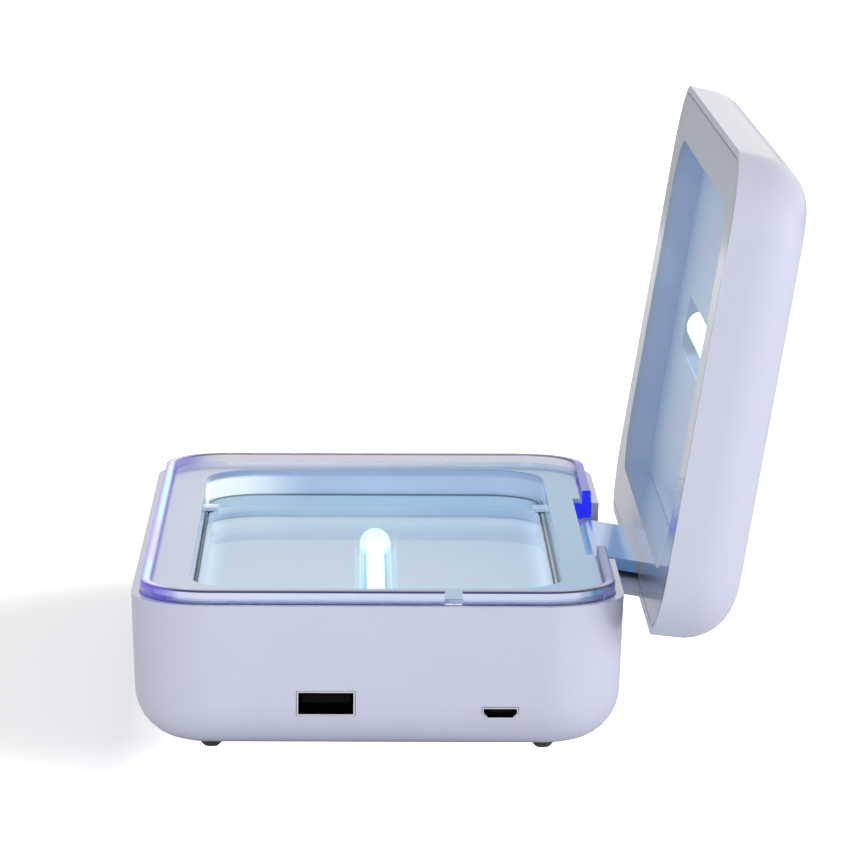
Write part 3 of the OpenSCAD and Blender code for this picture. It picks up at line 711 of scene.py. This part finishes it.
class Ring:
    """The clear ring's path, section and front notch, all within the CAD node's box."""

    # Metres. The shelf and the notch's floor are heights, the notch lies between two places
    # across the front, and the gap for the hinge ends this far to either side
    wall = 0.0022
    corner = 0.016458
    foot = 0.0025
    shelf = 0.0332
    notch_floor = 0.0334
    notch = (0.015, 0.019)
    gap = 0.0385
    outer_edge = 0.0005
    inner_edge = 0.00035
    arc_steps = 18
    edge_steps = 4

    def __init__(self):
        low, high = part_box("light_ring")
        self.low, self.top = low.z, high.z
        self.half_x, self.half_y = high.x, high.y
        self.middle_x, self.middle_y = self.half_x - self.corner, self.half_y - self.corner

    def depth(self, paint, x, y):
        """How far in from the ring's outer face a place on it is."""
        return rounded_inset(paint, x, y, self.half_x, self.half_y, self.corner)

    def edge(self, centre, radius, start):
        """A quarter of a circle in the section, as pieces with a place and a normal at each end."""
        ends = []
        for step in range(self.edge_steps + 1):
            angle = math.radians(start - 90.0 * step / self.edge_steps)
            out = (math.cos(angle), math.sin(angle))
            ends.append(((centre[0] + radius * out[0], centre[1] + radius * out[1]), out))
        return list(zip(ends, ends[1:]))

    def section(self, cut):
        """The section as pieces, from its outer foot over its top to its inner foot."""
        wall, foot = self.wall, self.wall + self.foot
        top = self.notch_floor if cut else self.top
        pieces = [straight((0.0, self.low), (0.0, self.notch_floor), (-1.0, 0.0))]
        if cut:
            pieces.append(straight((0.0, top), (wall, top), (0.0, 1.0)))
        else:
            big, small = self.outer_edge, self.inner_edge
            pieces.append(straight((0.0, self.notch_floor), (0.0, top - big), (-1.0, 0.0)))
            pieces.extend(self.edge((big, top - big), big, 180.0))
            pieces.append(straight((big, top), (wall - small, top), (0.0, 1.0)))
            pieces.extend(self.edge((wall - small, top - small), small, 90.0))
            pieces.append(straight((wall, top - small), (wall, self.notch_floor), (1.0, 0.0)))
        pieces.append(straight((wall, self.notch_floor), (wall, self.shelf), (1.0, 0.0)))
        pieces.append(straight((wall, self.shelf), (foot, self.shelf), (0.0, 1.0)))
        pieces.append(straight((foot, self.shelf), (foot, self.low), (1.0, 0.0)))
        pieces.append(straight((foot, self.low), (0.0, self.low), (0.0, -1.0)))
        return pieces

    def stations(self):
        """Places on the outer outline with their outward directions, round from the gap's far
        end to its near one."""
        found = [((self.half_x, self.gap), (1.0, 0.0))]
        for turn, side in enumerate(((1, 1), (-1, 1), (-1, -1), (1, -1))):
            if turn == 3:
                found.extend(((x, -self.half_y), (0.0, -1.0)) for x in self.notch)
            for step in range(self.arc_steps + 1):
                angle = math.radians(90.0 * (turn + step / self.arc_steps))
                out = (math.cos(angle), math.sin(angle))
                found.append(((side[0] * self.middle_x + self.corner * out[0],
                               side[1] * self.middle_y + self.corner * out[1]), out))
        found.append(((self.half_x, -self.gap), (1.0, 0.0)))
        return found

    @staticmethod
    def spot(station, place):
        """The point of a place in the section at a station."""
        (x, y), (out_x, out_y) = station
        return Vector((x - out_x * place[0], y - out_y * place[0], place[1]))

    @staticmethod
    def lean(station, out):
        """The direction of a section's normal at a station."""
        return Vector((-station[1][0] * out[0], -station[1][1] * out[0], out[1]))

    def sweep(self, skin, stations):
        for here, after in zip(stations, stations[1:]):
            cut = here[0][1] == after[0][1] == -self.half_y and here[0][0] == self.notch[0]
            for (first, first_out), (second, second_out) in self.section(cut):
                corners = ((here, first), (after, first), (after, second), (here, second))
                leans = ((here, first_out), (after, first_out),
                         (after, second_out), (here, second_out))
                skin.face([self.spot(*corner) for corner in corners],
                          [self.lean(*lean) for lean in leans])

    def close(self, skin, station, section, way):
        """Closes the ring at a cut with a flat face that looks one way."""
        skin.face([self.spot(station, place) for place in section], [Vector(way)] * len(section))

    def build(self, material):
        skin, stations = Skin(), self.stations()
        self.sweep(skin, stations)
        whole = [start[0] for start, end in self.section(False)]
        self.close(skin, stations[0], whole, (0, -1, 0))
        self.close(skin, stations[-1], whole, (0, 1, 0))
        high = [place for place in whole if place[1] >= self.notch_floor]
        for x, way in zip(self.notch, ((1, 0, 0), (-1, 0, 0))):
            self.close(skin, ((x, -self.half_y), (0.0, -1.0)), high, way)
        return skin.piece("clear_light_ring", material)


# Operators, one for each piece or group of like pieces

class SANITIZER_OT_shells(bpy.types.Operator):
    """Finish the base's shell, the lid's shell and the button"""
    bl_idname = "sanitizer.shells"
    bl_label = "Shells and button"

    def execute(self, context):
        plastic = context.scene.box_plastic
        white = gloss_plastic("white_gloss", plastic.colour, plastic.roughness)
        dress(white, "base_shell", "lid_shell", "start_button", "hinge_bracket")
        round_edges(plastic.edge, "base_shell", "lid_shell")
        return {"FINISHED"}


class SANITIZER_OT_inner_mouldings(bpy.types.Operator):
    """Finish the tray's deck and the lid's inner frame"""
    bl_idname = "sanitizer.inner_mouldings"
    bl_label = "Deck and lid frame"

    def execute(self, context):
        plastic = context.scene.box_plastic
        dress(deck_plastic(plastic), "tray_deck")
        dress(lid_frame_plastic(plastic), "lid_frame")
        round_edges(plastic.edge, "tray_deck", "lid_frame")
        return {"FINISHED"}


class SANITIZER_OT_ring(bpy.types.Operator):
    """Finish the clear ring, its light strip and its small lamps"""
    bl_idname = "sanitizer.ring"
    bl_label = "Light ring"

    def execute(self, context):
        ring = Ring()
        piece = ring.build(ring_plastic(context.scene.box_light, ring))
        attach(piece, "base")
        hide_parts("light_ring")
        dress(strip_film(), "led_strip")
        dress(led_lens(), "ring_leds")
        return {"FINISHED"}


class SANITIZER_OT_glass(bpy.types.Operator):
    """Finish the glass plate that a phone lies on"""
    bl_idname = "sanitizer.glass"
    bl_label = "Glass plate"

    def execute(self, context):
        dress(plate_glass(context.scene.box_glass), "glass_plate")
        return {"FINISHED"}


class SANITIZER_OT_lamps(bpy.types.Operator):
    """Finish the two lamps, their plugs, clips and reflectors"""
    bl_idname = "sanitizer.lamps"
    bl_label = "Lamps and reflectors"

    def execute(self, context):
        base_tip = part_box("base_lamp_jacket")[1].y
        lid_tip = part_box("lid_lamp_jacket")[1].y
        clear = lamp_glass(
            "lamp_glass", tint=(0.72, 0.87, 0.94), edge=1.0, falloff=26.0,
            dome=base_tip - 0.0045, solid=0.95)
        hazy = lamp_glass(
            "hazy_lamp_glass", tint=(0.9, 0.96, 0.99), edge=0.6, falloff=8.0,
            dome=lid_tip - 0.008, solid=0.8)
        dress(clear, "base_lamp_jacket")
        dress(hazy, "lid_lamp_jacket")
        dress(lamp_glow(context.scene.box_light), "base_lamp_core", "lid_lamp_core")
        dress(silicone(),
              "base_lamp_socket", "lid_lamp_socket", "base_lamp_saddle", "lid_lamp_saddle")
        dress(base_reflector(), "base_reflector")
        dress(lid_reflector(), "lid_reflector")
        return {"FINISHED"}


class SANITIZER_OT_sockets(bpy.types.Operator):
    """Finish the two sockets in the front"""
    bl_idname = "sanitizer.sockets"
    bl_label = "Sockets"

    def execute(self, context):
        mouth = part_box("usb_shell")[0].y
        steel = bright_metal(
            "socket_steel", colour=(0.78, 0.79, 0.82), roughness=0.2, mouth=mouth)
        dress(steel, "usb_shell", "micro_shell")
        insulator = matt_plastic(
            "black_insulator", colour=(0.0015, 0.0015, 0.002), roughness=0.6, gleam=0.1)
        dress(insulator, "usb_tongue", "micro_tongue")
        return {"FINISHED"}


class SANITIZER_OT_electronics(bpy.types.Operator):
    """Finish the boards, their parts, the sensor and the switch"""
    bl_idname = "sanitizer.electronics"
    bl_label = "Boards and switch"

    def execute(self, context):
        dress(board_green(), "main_board", "switch_board")
        dress(matt_plastic("board_parts", colour=(0.05, 0.05, 0.056)), "board_parts")
        dress(matt_plastic("black_plastic", colour=(0.02, 0.02, 0.023)),
              "switch_body", "switch_plunger", "lid_sensor")
        return {"FINISHED"}


class SANITIZER_OT_hardware(bpy.types.Operator):
    """Finish the screws, the hinge pin, the magnet and the feet"""
    bl_idname = "sanitizer.hardware"
    bl_label = "Screws, pin and feet"

    def execute(self, context):
        dress(bright_metal("bright_steel", colour=(0.66, 0.67, 0.69), roughness=0.26),
              "hinge_pin", "bracket_screws", "board_screws", "deck_screws", "lid_screws")
        dress(bright_metal("magnet", colour=(0.5, 0.5, 0.52), roughness=0.3), "lid_magnet")
        dress(rubber(), "feet")
        return {"FINISHED"}


def add_floor(scene, stage):
    """A pale floor under the feet. The camera sees it white away from the box, and mostly as
    it is lit where the box's shadow falls."""
    ground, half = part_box("feet")[0].z, FLOOR_HALF
    mesh = bpy.data.meshes.new("floor")
    corners = ((-half, -half), (half, -half), (half, half), (-half, half))
    mesh.from_pydata([(x, y, ground) for x, y in corners], [], [(0, 1, 2, 3)])
    floor = bpy.data.objects.new("floor", mesh)
    scene.collection.objects.link(floor)
    p = Paint("floor")
    camera_ray = p.add("ShaderNodeLightPath", output="Is Camera Ray")
    mottle = p.noise(60, 3.0)
    lit = p.principled(
        Base_Color=p.mix(mottle, shade(stage.floor, 0.99), stage.floor),
        Roughness=0.7 + 0.1 * mottle)
    white = p.add("ShaderNodeEmission", None, {"Color": WHITE, "Strength": FLOOR_WHITE})
    away = p.add("ShaderNodeVectorMath", {"operation": "LENGTH"}, {0: p.place()}, "Value")
    shadow_end, shadow_right = (0.11, 0.21), (-0.062, -0.03)
    near = 1.0 - away.ramp(*shadow_end)
    left = 1.0 - p.axis("X").ramp(*shadow_right) * 0.9
    mesh.materials.append(p.finish(p.either(camera_ray * (1.0 - 0.8 * near * left), lit, white)))


def add_world(scene, stage):
    """Even light from all round, and white for what the camera, gloss and clear pieces show."""
    p = Paint("studio", "worlds")
    camera, glossy, through = (
        p.add("ShaderNodeLightPath", output=f"Is {ray} Ray")
        for ray in ("Camera", "Glossy", "Transmission"))
    fill = p.add("ShaderNodeBackground", None, {"Color": (0.97, 0.98, 1.0), "Strength": stage.fill})
    white = p.add("ShaderNodeBackground", None, {"Color": WHITE, "Strength": 1.0})
    seen = p.larger(p.larger(camera, glossy), through)
    scene.world = p.finish(p.either(seen, fill, white), "ShaderNodeOutputWorld")


def add_light(scene, name, power):
    place, aim, width, colour = LIGHTS[name]
    light = bpy.data.lights.new(name, "AREA")
    light.shape = "DISK"
    light.size = width
    light.energy = power
    light.color = colour
    lamp = bpy.data.objects.new(name, light)
    lamp.location = place
    lamp.rotation_euler = (Vector(aim) - Vector(place)).to_track_quat("-Z", "Y").to_euler()
    lamp.visible_glossy = False
    # The light behind would shine through the clear ring onto the deck
    lamp.visible_transmission = name != "back"
    scene.collection.objects.link(lamp)


def add_camera(scene):
    lens = bpy.data.cameras.new("camera")
    lens.sensor_width = SENSOR_WIDTH
    lens.lens = FOCAL_LENGTH * SENSOR_WIDTH / PHOTO_WIDTH
    lens.shift_x = (PHOTO_WIDTH / 2.0 - PHOTO_MIDDLE) / PHOTO_WIDTH
    lens.clip_start = 0.01
    camera = bpy.data.objects.new("camera", lens)
    camera.matrix_world = (
        Matrix.Translation(CAMERA_PLACE)
        @ Matrix.Rotation(math.radians(90.0 - CAMERA_DROP), 4, "X")
        @ Matrix.Rotation(math.radians(CAMERA_TURN), 4, "Z"))
    scene.collection.objects.link(camera)
    scene.camera = camera


class SANITIZER_OT_stage(bpy.types.Operator):
    """Add the floor, the studio light, the white background and the camera"""
    bl_idname = "sanitizer.stage"
    bl_label = "Stage"

    def execute(self, context):
        scene, stage = context.scene, context.scene.box_stage
        add_floor(scene, stage)
        add_world(scene, stage)
        for name in LIGHTS:
            add_light(scene, name, getattr(stage, name))
        add_camera(scene)
        scene.view_settings.view_transform = "Standard"
        return {"FINISHED"}


class SANITIZER_PT_panel(bpy.types.Panel):
    """Lists the steps that finish the box, in the order in which they run"""
    bl_label = "Sanitizer box"
    bl_idname = "SANITIZER_PT_panel"
    bl_space_type = "VIEW_3D"
    bl_region_type = "UI"
    bl_category = "Sanitizer box"

    def draw(self, context):
        column = self.layout.column()
        for step in STEPS:
            column.operator(step.bl_idname)
        for group, cls in GROUPS.items():
            for name in cls.__annotations__:
                column.prop(getattr(context.scene, group), name)


# The operators in the order in which they run, and the settings that the scene holds
STEPS = (
    SANITIZER_OT_shells, SANITIZER_OT_inner_mouldings, SANITIZER_OT_ring, SANITIZER_OT_glass,
    SANITIZER_OT_lamps, SANITIZER_OT_sockets, SANITIZER_OT_electronics, SANITIZER_OT_hardware,
    SANITIZER_OT_stage)
GROUPS = {
    "box_plastic": PlasticSettings, "box_light": LightSettings,
    "box_glass": GlassSettings, "box_stage": StageSettings}
CLASSES = (*GROUPS.values(), *STEPS, SANITIZER_PT_panel)


def register():
    for cls in CLASSES:
        bpy.utils.register_class(cls)
    for name, cls in GROUPS.items():
        setattr(bpy.types.Scene, name, PointerProperty(type=cls))


def unregister():
    for name in GROUPS:
        delattr(bpy.types.Scene, name)
    for cls in reversed(CLASSES):
        bpy.utils.unregister_class(cls)


def main():
    register()
    bpy.ops.sanitizer.shells()
    bpy.ops.sanitizer.inner_mouldings()
    bpy.ops.sanitizer.ring()
    bpy.ops.sanitizer.glass()
    bpy.ops.sanitizer.lamps()
    bpy.ops.sanitizer.sockets()
    bpy.ops.sanitizer.electronics()
    bpy.ops.sanitizer.hardware()
    bpy.ops.sanitizer.stage()


if __name__ == "__main__":
    main()
